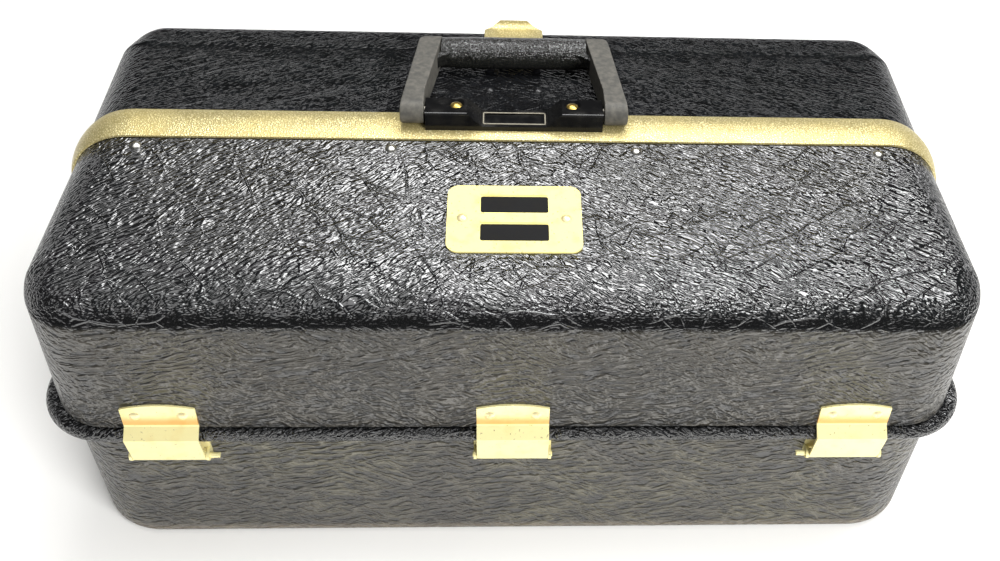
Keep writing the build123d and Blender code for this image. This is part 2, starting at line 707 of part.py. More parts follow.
ear_x = HINGE_WIDTH / 2 + 1.0
ear_plate = 1.6
bracket_face_y = TUB_WIDTH / 2 + 2.6
bracket_leaf_low = 77.5
bracket_leaf_high = 97.4
with BuildPart() as hinge_bracket_form:
    with BuildSketch(Plane.XY.offset(bracket_leaf_low)):
        with Locations((0, -bracket_face_y + 1.45)):
            Rectangle(2 * ear_x + ear_plate, 2.9)
    extrude(amount=bracket_leaf_high - bracket_leaf_low)
    for end in (-1, 1):
        with BuildSketch(hinge_axis_plane.offset(end * ear_x - ear_plate / 2)):
            Circle(KNUCKLE_RADIUS + 0.3)
            with Locations((2.4, 0)):
                Rectangle(4.8, 2 * KNUCKLE_RADIUS + 0.6)
        extrude(amount=ear_plate)
    add(tub.part, mode=Mode.SUBTRACT)
    with Locations(hinge_axis_plane):
        Cylinder(HINGE_PIN_RADIUS + 0.01, 60, mode=Mode.SUBTRACT)
    for x in (-HINGE_RIVET_OFFSET, HINGE_RIVET_OFFSET):
        with Locations((x, -tub_wall_y, TUB_RIVET_Z)):
            Cylinder(hole_radius, 12, rotation=(90, 0, 0), mode=Mode.SUBTRACT)

pin_half = ear_x + 1.4
pin_extra = 4.6
leaf_rivet = rivet_form(2.9, 1.1, SHELL + LEAF + 0.2)
for side, side_name in ((-1, "front"), (1, "rear")):
    turn = 0 if side == -1 else 180
    for x, place_name in zip(hinge_places, ("left", "middle", "right")):
        with BuildPart() as hinge_leaf:
            with Locations(Location((x, 0, 0), (0, 0, turn))):
                add(leaf_form.part)
        keep(f"{side_name}_{place_name}_hinge_leaf", hinge_leaf.part)
        with BuildPart() as hinge_bracket:
            with Locations(Location((x, 0, 0), (0, 0, turn))):
                add(hinge_bracket_form.part)
        keep(f"{side_name}_{place_name}_hinge_bracket", hinge_bracket.part)
    with BuildPart() as hinge_pins:
        for place in (-1, 0, 1):
            middle = place * (HINGE_PITCH - pin_extra / 2)
            length = 2 * pin_half + pin_extra * abs(place)
            with Locations(Plane(origin=(middle, side * HINGE_AXIS_Y, HINGE_AXIS_Z), z_dir=(1, 0, 0))):
                Cylinder(HINGE_PIN_RADIUS, length)
    keep(f"{side_name}_hinge_pins", hinge_pins.part)
    with BuildPart() as leaf_rivets:
        with Locations(*[lid_wall(side, x, LID_RIVET_Z).offset(LEAF + SEAM) for x in hinge_rivet_xs]):
            add(leaf_rivet)
    keep(f"{side_name}_leaf_rivets", leaf_rivets.part)

bracket_stand = bracket_face_y - tub_wall_y
hinge_bracket_rivet = rivet_form(2.6, 1.0, bracket_stand + SHELL + 0.05)
with BuildPart() as hinge_bracket_rivets:
    with Locations(*[place.offset(bracket_stand) for place in tub_rivets]):
        add(hinge_bracket_rivet)
keep("hinge_bracket_rivets", hinge_bracket_rivets.part)

# Brackets on the tub's end walls that carry the tray arms
arm_low_z = TRAY_BOTTOM + TRAY_HEIGHT / 2 - TRAY_PITCH
plate_outer_y = ARM_AXIS_Y + 6.0
plate_inner_y = BRACKET_RIVET_YS[-1] - 4.0
plate_middle_y = (plate_outer_y + plate_inner_y) / 2
bracket_studs = [
    facing_end(end, BRACKET_X, side * y, arm_low_z)
    for y in (ARM_AXIS_Y, ARM_AXIS_Y - ARM_SPACING)
    for side in (-1, 1)
    for end in (-1, 1)
]
with BuildPart() as tray_brackets:
    for end in (-1, 1):
        for side in (-1, 1):
            with BuildSketch(Plane.XY.offset(BRACKET_LOW)):
                with Locations((end * (BRACKET_X + BRACKET_THICK / 2), side * plate_middle_y)):
                    Rectangle(BRACKET_THICK, plate_outer_y - plate_inner_y)
                for y in BRACKET_RIVET_YS:
                    with Locations((end * (BRACKET_X + 9), side * y)):
                        Rectangle(18, 8)
            extrude(amount=BRACKET_HIGH - BRACKET_LOW)
    add(tub.part, mode=Mode.SUBTRACT)
    with Locations(*bracket_studs):
        Cylinder(STUD_RADIUS + FIT, 8, mode=Mode.SUBTRACT)
    with Locations(*bracket_rivet_places):
        Cylinder(hole_radius, 60, mode=Mode.SUBTRACT)
keep("tray_brackets", tray_brackets.part)

bracket_rivet = rivet_form(3.0, 1.3, tub_wall_x + SEAM - BRACKET_X)
with BuildPart() as bracket_rivets:
    with Locations(*[place.offset(SEAM) for place in bracket_rivet_places]):
        add(bracket_rivet)
keep("bracket_rivets", bracket_rivets.part)

# Cantilever trays, stepped towards the middle as they rise, and the arms that carry them
tray_depth = TRAY_OUTER - TRAY_INNER
tray_middle = (TRAY_OUTER + TRAY_INNER) / 2
compartment_pitch = (TRAY_LENGTH - TRAY_WALL) / (DIVIDER_COUNT + 1)
arm_reach = hypot(TRAY_STAGGER, TRAY_PITCH) * TRAY_COUNT
arm_turn = degrees(atan2(TRAY_PITCH, TRAY_STAGGER))
arm_x = TRAY_LENGTH / 2 + 0.6
stud_from = arm_x + ARM_THICK / 2
for side, side_name in ((-1, "front"), (1, "rear")):
    for tier in range(1, TRAY_COUNT + 1):
        low = TRAY_BOTTOM + (tier - 1) * TRAY_PITCH
        axis_y = ARM_AXIS_Y - tier * TRAY_STAGGER
        axis_z = low + TRAY_HEIGHT / 2
        with BuildPart() as tray:
            with BuildSketch(Plane.XY.offset(low)) as outline:
                with Locations((0, side * tray_middle)):
                    Rectangle(TRAY_LENGTH, tray_depth)
                by_depth = outline.vertices().sort_by(lambda corner: side * corner.Y)
                fillet(by_depth[-2:], TRAY_CORNER)
                fillet(by_depth[:2], 3)
            extrude(amount=TRAY_HEIGHT)
            with BuildSketch(Plane.XY.offset(low + TRAY_WALL)):
                add(outline.sketch)
                offset(amount=-TRAY_WALL, mode=Mode.REPLACE)
                with Locations((0, side * tray_middle)):
                    with GridLocations(compartment_pitch, 0, DIVIDER_COUNT, 1):
                        Rectangle(TRAY_WALL, tray_depth, mode=Mode.SUBTRACT)
            extrude(amount=TRAY_HEIGHT, mode=Mode.SUBTRACT)
            for y in (axis_y, axis_y - ARM_SPACING):
                with Locations(*[facing_end(end, TRAY_LENGTH / 2, side * y, axis_z) for end in (-1, 1)]):
                    Cylinder(STUD_RADIUS + FIT, 8, mode=Mode.SUBTRACT)
        keep(f"{side_name}_tray_{tier}", tray.part)
    for root_y, arm_name in ((ARM_AXIS_Y, "outer"), (ARM_AXIS_Y - ARM_SPACING, "inner")):
        middle_y = root_y - TRAY_STAGGER * TRAY_COUNT / 2
        middle_z = arm_low_z + TRAY_PITCH * TRAY_COUNT / 2
        with BuildPart() as arms:
            for end in (-1, 1):
                with BuildSketch(Plane.YZ.offset(end * (arm_x + ARM_THICK / 2))):
                    with Locations((side * middle_y, middle_z)):
                        SlotCenterToCenter(arm_reach, ARM_WIDTH, rotation=-side * arm_turn)
                extrude(amount=ARM_THICK / 2, both=True)
                for tier in range(TRAY_COUNT + 1):
                    stud_to = BRACKET_X + BRACKET_THICK if tier == 0 else TRAY_LENGTH / 2 - TRAY_WALL - 1.0
                    stud_y = side * (root_y - tier * TRAY_STAGGER)
                    stud_z = arm_low_z + tier * TRAY_PITCH
                    with Locations(facing_end(end, (stud_from + stud_to) / 2, stud_y, stud_z)):
                        Cylinder(STUD_RADIUS, abs(stud_from - stud_to))
        keep(f"{side_name}_{arm_name}_tray_arms", arms.part)
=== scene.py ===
import json
from math import cos, pi, radians, sin

import bmesh
import bpy
from bpy.props import FloatProperty, FloatVectorProperty, PointerProperty
from mathutils import Matrix, Vector


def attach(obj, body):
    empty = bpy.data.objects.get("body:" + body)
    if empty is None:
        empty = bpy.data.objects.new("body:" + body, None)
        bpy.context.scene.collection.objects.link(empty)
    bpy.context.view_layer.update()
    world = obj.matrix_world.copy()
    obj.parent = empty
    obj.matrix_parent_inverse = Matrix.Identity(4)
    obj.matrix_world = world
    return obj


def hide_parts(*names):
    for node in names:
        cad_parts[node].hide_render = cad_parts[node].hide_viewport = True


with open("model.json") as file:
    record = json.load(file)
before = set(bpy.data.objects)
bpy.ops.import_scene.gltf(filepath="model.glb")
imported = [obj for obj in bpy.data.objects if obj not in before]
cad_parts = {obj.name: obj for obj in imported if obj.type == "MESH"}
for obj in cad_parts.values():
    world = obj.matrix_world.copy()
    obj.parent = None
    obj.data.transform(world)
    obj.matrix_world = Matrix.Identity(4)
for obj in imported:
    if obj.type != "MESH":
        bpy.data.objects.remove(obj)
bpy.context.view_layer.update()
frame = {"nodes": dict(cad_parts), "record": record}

bl_info = {
    "name": "Tackle Box",
    "version": (1, 0, 0),
    "blender": (4, 5, 0),
    "location": "View3D > Sidebar > Tackle Box",
    "description": "Dresses the two-lid tackle box and its stage",
    "category": "Object",
}

MM = 0.001
BODIES = frame["record"]["behaviour"]["bodies"]
BODY_OF = {node: body for body, nodes in BODIES.items() for node in nodes}
SLOT_OF = {part["node"]: part["material_slot"] for part in frame["record"]["subparts"]}


def linear(hex_text):
    """Linear colour, with an alpha of one, of an sRGB hex value."""
    parts = [int(hex_text[start:start + 2], 16) / 255 for start in (1, 3, 5)]
    lit = [part / 12.92 if part <= 0.04045 else ((part + 0.055) / 1.055) ** 2.4 for part in parts]
    return (*lit, 1.0)


def add_node(tree, kind, inputs=None, **settings):
    """Adds one shader node with its settings, fills or links its inputs, and gives its outputs."""
    node = tree.nodes.new("ShaderNode" + kind)
    for key, value in settings.items():
        setattr(node, key, value)
    for key, value in (inputs or {}).items():
        if isinstance(value, bpy.types.NodeSocket):
            tree.links.new(value, node.inputs[key])
        else:
            node.inputs[key].default_value = value
    return node.outputs


# Sockets of a Mix node: its factor, and the two inputs and the output of numbers and of colours
FACTOR = 0
FIRST_NUMBER, SECOND_NUMBER, NUMBER = 2, 3, 0
FIRST_COLOUR, SECOND_COLOUR, COLOUR = 6, 7, 2

# Setting of a Map Range node that eases in and out, and how strongly a noise's finer octaves show
SMOOTH = {"interpolation_type": "SMOOTHSTEP"}
OCTAVES = 0.55

# Edges of new pieces that are rounded, and those that stay sharp in shading
ROUNDED_FROM, SHARP_FROM = radians(28), radians(32)


# Sizes and colours that a user would change
class TackleBoxColours(bpy.types.PropertyGroup):
    """Colours of the box's finishes."""

    roof: FloatVectorProperty(
        name="Roof", description="Polished plastic of the roofs and the rim",
        subtype="COLOR", size=4, default=linear("#131416"),
    )
    # The walls' colour is lighter than the roofs' partly for dust and partly as painted light: it
    # stands in for the light that the walls catch from the white floor in front.
    wall: FloatVectorProperty(
        name="Wall", description="Duller plastic of the walls",
        subtype="COLOR", size=4, default=linear("#39352d"),
    )
    # Painted shade: the colour laid into the grain's creases, where shade would fall.
    crease_shade: FloatVectorProperty(
        name="Crease", description="Dark bottom of the grain's creases",
        subtype="COLOR", size=4, default=linear("#0c0c0d"),
    )
    gold: FloatVectorProperty(
        name="Gold", description="Gold plate of the hinges and the nameplate",
        subtype="COLOR", size=4, default=linear("#f7edb0"),
    )
    strip: FloatVectorProperty(
        name="Ridge strip", description="Pebbled gold of the ridge strip and the latch",
        subtype="COLOR", size=4, default=linear("#efe3ae"),
    )
    handle: FloatVectorProperty(
        name="Handle", description="Dull vinyl of the handle's legs",
        subtype="COLOR", size=4, default=linear("#4b4a46"),
    )
    tray: FloatVectorProperty(
        name="Trays", description="Moulded styrene of the trays",
        subtype="COLOR", size=4, default=linear("#a9a59a"),
    )


class TackleBoxSizes(bpy.types.PropertyGroup):
    """Real sizes of the box's surface patterns and of the handle's small forms."""

    wrinkle: FloatProperty(
        name="Wrinkle", description="Spacing of the wrinkles of the shells' grain",
        unit="LENGTH", default=1.6 * MM,
    )
    wrinkle_stretch: FloatProperty(
        name="Wrinkle stretch", description="Length of a wrinkle over its width", default=3.6,
    )
    fold: FloatProperty(
        name="Fold", description="Spacing of the long folds that cross the grain",
        unit="LENGTH", default=13.0 * MM,
    )
    grain_depth: FloatProperty(
        name="Grain depth", description="Height of the shells' grain",
        unit="LENGTH", default=0.6 * MM,
    )
    strip_pebble: FloatProperty(
        name="Strip pebble", description="Width of one pebble of the gold strip and the latch",
        unit="LENGTH", default=1.4 * MM,
    )
    vinyl_pebble: FloatProperty(
        name="Vinyl pebble", description="Width of one pebble of the grip's grain",
        unit="LENGTH", default=1.1 * MM,
    )
    corner_reach: FloatProperty(
        name="Corner reach", description="Radius of the inner corners between grip and legs",
        unit="LENGTH", default=17.0 * MM,
    )
    panel_rail: FloatProperty(
        name="Panel rail", description="Width of the pale frame round the handle base's panel",
        unit="LENGTH", default=0.7 * MM,
    )


class TackleBoxCamera(bpy.types.PropertyGroup):
    """Where the photograph was taken from."""

    place: FloatVectorProperty(
        name="Place", description="Camera's place", subtype="XYZ", unit="LENGTH",
        default=(-0.00624, -0.49718, 0.58375),
    )
    pitch: FloatProperty(
        name="Pitch", description="Angle down from the horizon", subtype="ANGLE",
        default=radians(43.78),
    )
    yaw: FloatProperty(
        name="Yaw", description="Turn to the right of straight ahead", subtype="ANGLE",
        default=radians(4.72),
    )
    roll: FloatProperty(
        name="Roll", description="Lean of the camera", subtype="ANGLE", default=radians(3.62),
    )
    lens: FloatProperty(
        name="Lens", description="Focal length on a 36 mm wide sensor, in millimetres",
        default=40.204,
    )
    shift_x: FloatProperty(name="Shift across", description="Lens shift across", default=-0.0686)
    shift_y: FloatProperty(name="Shift up", description="Lens shift up", default=-0.01937)


# Meshes of the new pieces, and finishes given to CAD nodes
def add_piece(name, work, width, material, body):
    """Rounds a closed form's edges, and makes it a piece that rides on a body."""
    sharp = [
        edge for edge in work.edges
        if len(edge.link_faces) == 2 and edge.calc_face_angle() > ROUNDED_FROM
    ]
    bmesh.ops.bevel(
        work, geom=sharp, offset=width, offset_type="OFFSET", segments=2, profile=0.5,
        affect="EDGES", clamp_overlap=True, material=-1,
    )
    bmesh.ops.recalc_face_normals(work, faces=work.faces)
    mesh = bpy.data.meshes.new(name)
    work.to_mesh(mesh)
    work.free()
    mesh.polygons.foreach_set("use_smooth", [True] * len(mesh.polygons))
    mesh.set_sharp_from_angle(angle=SHARP_FROM)
    mesh.materials.append(material)
    piece = bpy.data.objects.new(name, mesh)
    bpy.context.scene.collection.objects.link(piece)
    piece.modifiers.new("even_shading", "WEIGHTED_NORMAL").keep_sharp = True
    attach(piece, body)
    return piece


def rounded_copy(name, width, material):
    """Stands a copy of a CAD node with small rounded edges in for it."""
    weld, flat = 0.004 * MM, radians(1.0)
    work = bmesh.new()
    work.from_mesh(frame["nodes"][name].data)
    bmesh.ops.remove_doubles(work, verts=work.verts, dist=weld)
    bmesh.ops.dissolve_limit(work, angle_limit=flat, verts=work.verts, edges=work.edges)
    piece = add_piece(name + "_rounded", work, width, material, BODY_OF[name])
    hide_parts(name)


def corner_web(side, corner_x, corner_y, reach, low, high):
    """Upright web that fills a corner to an arc; side is -1 at the left and 1 at the right."""
    work = bmesh.new()
    centre = Vector((side * (corner_x - reach), corner_y - reach, low))
    start = work.verts.new(centre + Vector((0, reach, 0)))
    bmesh.ops.spin(work, geom=[start], cent=centre, axis=(0, 0, -side), angle=pi / 2, steps=6)
    arc = list(work.verts)
    face = work.faces.new([work.verts.new((side * corner_x, corner_y, low)), *arc])
    raised = bmesh.ops.extrude_face_region(work, geom=[face])
    upper = [item for item in raised["geom"] if isinstance(item, bmesh.types.BMVert)]
    bmesh.ops.translate(work, verts=upper, vec=(0, 0, high - low))
    bmesh.ops.recalc_face_normals(work, faces=work.faces)
    return work


def bar(low, high):
    """Straight bar between its lowest and highest corners."""
    work = bmesh.new()
    bmesh.ops.create_cube(work, size=1.0)
    bmesh.ops.scale(work, verts=work.verts, vec=Vector(high) - Vector(low))
    bmesh.ops.translate(work, verts=work.verts, vec=(Vector(low) + Vector(high)) / 2)
    return work


def dress(material, *names):
    """Gives a material to CAD nodes by their slots."""
    for name in names:
        for slot in frame["nodes"][name].material_slots:
            slot.material = material


# Patterns that the finishes share
def new_material(name):
    """An empty node material, its tree and its Object coordinates."""
    material = bpy.data.materials.new(name)
    material.use_nodes = True
    tree = material.node_tree
    tree.nodes.clear()
    return material, tree, add_node(tree, "TexCoord")["Object"]


def finish_material(tree, inputs):
    """Ends a material with one Principled shader."""
    add_node(tree, "OutputMaterial", {"Surface": add_node(tree, "BsdfPrincipled", inputs)["BSDF"]})


def drifted(tree, place, size, amount):
    """Coordinates that wander by an amount over a size, so that no pattern is regular."""
    noise = {"Vector": place, "Scale": 1 / size, "Detail": 2.0}
    wander = add_node(tree, "TexNoise", noise)["Color"]
    halves = {0: wander, 1: (0.5, 0.5, 0.5)}
    centred = add_node(tree, "VectorMath", halves, operation="SUBTRACT")["Vector"]
    scaled = add_node(tree, "VectorMath", {0: centred, "Scale": amount}, operation="SCALE")
    return add_node(tree, "VectorMath", {0: place, 1: scaled["Vector"]}, operation="ADD")["Vector"]


def blotches(tree, place, size, detail, low, high):
    """Soft blotches of a size, nought where noise is below low and one where it is above high."""
    noise = {"Vector": place, "Scale": 1 / size, "Detail": detail, "Roughness": OCTAVES}
    strength = add_node(tree, "TexNoise", noise)["Fac"]
    limits = {"Value": strength, "From Min": low, "From Max": high}
    return add_node(tree, "MapRange", limits, **SMOOTH)["Result"]


def over_height(tree, place, low, high, start=0.0, end=1.0):
    """Value that goes smoothly from start to end between two heights."""
    height = add_node(tree, "SeparateXYZ", {0: place})["Z"]
    limits = {"Value": height, "From Min": low, "From Max": high, "To Min": start, "To Max": end}
    return add_node(tree, "MapRange", limits, **SMOOTH)["Result"]


def laid_over(tree, base, colour, marks, cover):
    """Base colour with another over it where the marks are, which hides a share of it."""
    hidden = add_node(tree, "Math", {0: marks, 1: cover}, operation="MULTIPLY")["Value"]
    layers = {FACTOR: hidden, FIRST_COLOUR: base, SECOND_COLOUR: colour}
    return add_node(tree, "Mix", layers, data_type="RGBA")[COLOUR]


def duller(tree, marks, rough, change):
    """Roughness that is higher by a change where the marks are."""
    steps = {0: marks, 1: change, 2: rough}
    return add_node(tree, "Math", steps, operation="MULTIPLY_ADD")["Value"]


def pebbled(tree, place, width, slope):
    """Pebbles of a width, one on their crowns and nought in the gaps, with sides of a slope."""
    cells = {"Vector": drifted(tree, place, 6 * MM, 2 * MM), "Scale": 1 / width}
    distance = add_node(tree, "TexVoronoi", cells, feature="DISTANCE_TO_EDGE")["Distance"]
    return add_node(tree, "MapRange", {"Value": distance, "From Max": slope}, **SMOOTH)["Result"]


def fine_grain(tree, place, size, depth):
    """Normal of an even fine roughness, drawn coarser than the real one so that it shows."""
    noise = {"Vector": place, "Scale": 1 / size, "Detail": 3.0, "Roughness": OCTAVES}
    height = add_node(tree, "TexNoise", noise)["Fac"]
    return add_node(tree, "Bump", {"Height": height, "Distance": depth, "Strength": 1.0})["Normal"]


def strokes(tree, place, turn, width, stretch):
    """Short wrinkles of a width, drawn out along one direction."""
    along = {"Vector": place, "Rotation": turn, "Scale": (stretch, 1, 1)}
    turned = add_node(tree, "Mapping", along, vector_type="TEXTURE")["Vector"]
    noise = {"Vector": turned, "Scale": 1 / width, "Detail": 1.0, "Roughness": 0.6}
    strength = add_node(tree, "TexNoise", noise)["Fac"]
    limits = {"Value": strength, "From Min": 0.3, "From Max": 0.7}
    return add_node(tree, "MapRange", limits, **SMOOTH)["Result"]


def fold_lines(tree, place, turn, spacing):
    """Long thin folds, about a spacing apart, one on the line and nought beside it."""
    stretch, thickness = 6.0, 0.04
    along = {"Vector": place, "Rotation": (0, 0.5 * turn, turn), "Scale": (stretch, 1.0, 1.0)}
    turned = add_node(tree, "Mapping", along, vector_type="TEXTURE")["Vector"]
    cells = {"Vector": turned, "Scale": 1 / spacing}
    distance = add_node(tree, "TexVoronoi", cells, feature="DISTANCE_TO_EDGE")["Distance"]
    limits = {"Value": distance, "From Max": thickness, "To Min": 1.0, "To Max": 0.0}
    return add_node(tree, "MapRange", limits, **SMOOTH)["Result"]


# Parts of the shells' leather grain
def roof_wrinkles(tree, place, bent, patches):
    """Wrinkles that rise to the right at the left of the roofs, and fall at their right."""
    sizes = bpy.context.scene.tackle_box_sizes
    rising = strokes(tree, bent, (0, 0, radians(34)), sizes.wrinkle, sizes.wrinkle_stretch)
    falling = strokes(tree, bent, (0, 0, radians(-29)), sizes.wrinkle, sizes.wrinkle_stretch)
    across = add_node(tree, "SeparateXYZ", {0: place})["X"]
    ragged_by = 260 * MM
    ragged = add_node(
        tree, "Math", {0: patches, 1: ragged_by, 2: across}, operation="MULTIPLY_ADD"
    )["Value"]
    limits = {"Value": ragged, "From Min": 60 * MM, "From Max": 160 * MM}
    right = add_node(tree, "MapRange", limits, **SMOOTH)["Result"]
    sides = {FACTOR: right, FIRST_NUMBER: rising, SECOND_NUMBER: falling}
    return add_node(tree, "Mix", sides)[NUMBER]


def wall_wrinkles(tree, place, bent, patches):
    """Wider wrinkles, level on the walls and steep in patches, deeper towards the roofs."""
    sizes = bpy.context.scene.tackle_box_sizes
    stretch = 1.2 * sizes.wrinkle_stretch
    level = strokes(tree, bent, (0, radians(-11), 0), 1.6 * sizes.wrinkle, stretch)
    steep = strokes(tree, bent, (0, radians(31), 0), 1.4 * sizes.wrinkle, stretch)
    limits = {"Value": patches, "From Min": 0.35, "From Max": 0.7, "To Min": 0.1, "To Max": 0.75}
    share = add_node(tree, "MapRange", limits, **SMOOTH)["Result"]
    mixed = add_node(tree, "Mix", {FACTOR: share, FIRST_NUMBER: level, SECOND_NUMBER: steep})
    depth = over_height(tree, place, 112 * MM, 180 * MM, 3.0, 5.5)
    return add_node(tree, "Math", {0: mixed[NUMBER], 1: depth}, operation="MULTIPLY")["Value"]


def shell_folds(tree, bent, patches, polished):
    """Long folds in two directions, raised on the roofs and sunk on the walls."""
    fold = bpy.context.scene.tackle_box_sizes.fold
    first = fold_lines(tree, bent, radians(27), fold)
    second = fold_lines(tree, bent, radians(-47), 1.3 * fold)
    both = add_node(tree, "Math", {0: first, 1: second}, operation="MAXIMUM")["Value"]
    limits = {"Value": patches, "From Min": 0.62, "From Max": 0.42}
    room = add_node(tree, "MapRange", limits, **SMOOTH)["Result"]
    shown = add_node(tree, "Math", {0: both, 1: room}, operation="MULTIPLY")["Value"]
    wall_depth, roof_rise = -0.3, 0.6
    rise = add_node(
        tree, "Math", {0: polished, 1: roof_rise - wall_depth, 2: wall_depth},
        operation="MULTIPLY_ADD",
    )["Value"]
    return add_node(tree, "Math", {0: shown, 1: rise}, operation="MULTIPLY")["Value"]


def shell_colour(tree, place, polished, grain, dust_and_wall_light):
    """Walls painted lighter than the black roofs, for dust and as light; painted shade in the
    creases and the foot, and a painted floor reflection just above it.
    """
    colours = bpy.context.scene.tackle_box_colours
    dusty = blotches(tree, place, 60 * MM, 1.0, 0.3, 0.7)
    wall = laid_over(tree, tuple(colours.wall), linear(dust_and_wall_light), dusty, 1.0)
    shaded_in_creases = []
    # Painted shade: the low parts of the grain take the crease colour, where shade would fall in
    # them.
    for face, low, high in ((wall, 0.1, 2.4), (tuple(colours.roof), 0.2, 0.9)):
        limits = {"Value": grain, "From Min": low, "From Max": high}
        crests = add_node(tree, "MapRange", limits, **SMOOTH)["Result"]
        shaded_in_creases.append(laid_over(tree, tuple(colours.crease_shade), face, crests, 1.0))
    crease_shaded_wall, crease_shaded_roof = shaded_in_creases
    # The walls' lighter colour is partly dust and partly painted light; the roofs keep the black.
    base = laid_over(tree, crease_shaded_wall, crease_shaded_roof, polished, 1.0)
    # Painted reflection of the floor: a lighter band a few millimetres above the foot.
    painted_floor_reflection = over_height(tree, place, 11 * MM, 6 * MM)
    base = laid_over(tree, base, linear("#857a69"), painted_floor_reflection, 0.6)
    # Painted shadow: the lowest few millimetres of the foot are darkened, as if in the box's own
    # shade.
    painted_shade_at_foot = over_height(tree, place, 5 * MM, 3 * MM)
    return laid_over(tree, base, linear("#2e261d"), painted_shade_at_foot, 0.85)


# Moulded ABS with a leather grain: short wrinkles that lie one way, crossed by others and by long
# folds. Hands have polished the roofs and the rim, which glint. The walls are dull, and their
# colour is lighter than the roofs', partly for dust and partly as painted light from the floor;
# painted shade darkens the creases and the very foot, with a painted reflection of the floor just
# above it.
def leather_grain_abs(
    name, polished_from, polished_to, dust_and_wall_light, relief=1.0, gloss=1.0, shoulder_fall=0.0
):
    """Finish of a shell, which is dull below one height and polished above another.

    The grain's depth is multiplied by relief. The surface seems to fall by shoulder_fall
    depths at the shoulder, which shades it dark, and the wrinkles there are calmer.
    """
    sizes = bpy.context.scene.tackle_box_sizes
    material, tree, place = new_material(name)
    polished = over_height(tree, place, polished_from, polished_to)
    bent = drifted(tree, place, 30 * MM, 9 * MM)
    noise = {"Vector": place, "Scale": 1 / (24 * MM), "Detail": 1.0, "Roughness": OCTAVES}
    patches = add_node(tree, "TexNoise", noise)["Fac"]

    roof = roof_wrinkles(tree, place, bent, patches)
    wall = wall_wrinkles(tree, place, bent, patches)
    if shoulder_fall:
        calm = over_height(tree, place, polished_to, polished_to + 9 * MM, 0.25, 1.0)
        roof = add_node(tree, "Math", {0: roof, 1: calm}, operation="MULTIPLY")["Value"]
    wrinkles = add_node(tree, "Mix", {FACTOR: polished, FIRST_NUMBER: wall, SECOND_NUMBER: roof})
    folds = shell_folds(tree, bent, patches, polished)
    grain = add_node(tree, "Math", {0: wrinkles[NUMBER], 1: folds}, operation="ADD")["Value"]

    height = grain
    if shoulder_fall:
        foot, head = polished_from - 5 * MM, polished_to + 14 * MM
        fallen = over_height(tree, place, foot, head, 0.0, -shoulder_fall)
        height = add_node(tree, "Math", {0: grain, 1: fallen}, operation="ADD")["Value"]
    relief_of_grain = {"Height": height, "Distance": relief * sizes.grain_depth, "Strength": 1.0}
    wall_roughness, roof_roughness = 0.34, 0.14
    roughness = add_node(
        tree, "Mix",
        {FACTOR: polished, FIRST_NUMBER: wall_roughness, SECOND_NUMBER: roof_roughness},
    )
    finish_material(tree, {
        "Base Color": shell_colour(tree, place, polished, grain, dust_and_wall_light),
        "Roughness": roughness[NUMBER],
        "Normal": add_node(tree, "Bump", relief_of_grain)["Normal"],
        "IOR": 1.65,
        "Specular IOR Level": gloss,
    })
    return material


# Aluminium, gold anodised and rolled with a fine pebble: a soft yellow with darker gaps between
# the pebbles, and duller blotches where it has been rubbed.
def pebbled_gold_aluminium(name):
    """Finish of the ridge strip and of the latch's lever and base."""
    scene = bpy.context.scene
    strip = tuple(scene.tackle_box_colours.strip)
    material, tree, place = new_material(name)
    pebbles = pebbled(tree, place, scene.tackle_box_sizes.strip_pebble, 0.35)
    rubbed = blotches(tree, place, 22 * MM, 3.0, 0.35, 0.7)
    base = laid_over(tree, linear("#b8a870"), strip, pebbles, 1.0)
    relief = {"Height": pebbles, "Distance": 0.12 * MM, "Strength": 1.0}
    finish_material(tree, {
        "Base Color": laid_over(tree, base, linear("#c9b777"), rubbed, 0.5),
        "Metallic": 0.55,
        "Roughness": duller(tree, rubbed, 0.34, 0.12),
        "Normal": add_node(tree, "Bump", relief)["Normal"],
    })
    return material


# Sheet metal, gold plated and handled for years: bright, with small dark specks and fine scratches,
# and duller where the plating is worn.
def bright_gold_plate(name, rough=0.36, metallic=0.35, gloss=0.5, heated=None, tint="#f7edb0"):
    """Finish of the hinges and the nameplate, with an orange band just above a heated height."""
    gold = tuple(bpy.context.scene.tackle_box_colours.gold)
    material, tree, place = new_material(name)
    specks = blotches(tree, place, 1.6 * MM, 2.0, 0.66, 0.72)
    worn = blotches(tree, place, 9 * MM, 4.0, 0.45, 0.75)
    scratch_stretch = 14.0
    along = {"Vector": place, "Scale": (scratch_stretch, 1.0, 1.0)}
    scratches = add_node(tree, "Mapping", along, vector_type="TEXTURE")["Vector"]
    base = laid_over(tree, gold, linear("#eedb94"), worn, 1.0)
    base = laid_over(tree, base, linear(tint), 1.0, 0.5)
    base = laid_over(tree, base, linear("#6d5a2c"), specks, 0.6)
    if heated is not None:
        above = over_height(tree, place, heated, heated + 0.8 * MM)
        below = over_height(tree, place, heated + 9 * MM, heated + 2 * MM)
        band = add_node(tree, "Math", {0: above, 1: below}, operation="MULTIPLY")["Value"]
        base = laid_over(tree, base, linear("#d9963c"), band, 0.75)
    finish_material(tree, {
        "Base Color": base,
        "Metallic": metallic,
        "Roughness": duller(tree, worn, rough, 0.14),
        "Normal": fine_grain(tree, scratches, 0.5 * MM, 0.02 * MM),
        "Specular IOR Level": gloss,
    })
    return material


# Small parts of plain, plated or painted metal, and of pale plastic: one colour with faint spots of
# another, which are duller than the rest.
def faintly_spotted(name, colour, rough, spots="#55504a", metallic=1.0):
    """Finish of rivets, pins, steel straps and the moulded frame in the handle base."""
    material, tree, place = new_material(name)
    marks = blotches(tree, place, 2.2 * MM, 4.0, 0.5, 0.78)
    finish_material(tree, {
        "Base Color": laid_over(tree, linear(colour), linear(spots), marks, 0.7),
        "Metallic": metallic,
        "Roughness": duller(tree, marks, rough, 0.2),
    })
    return material


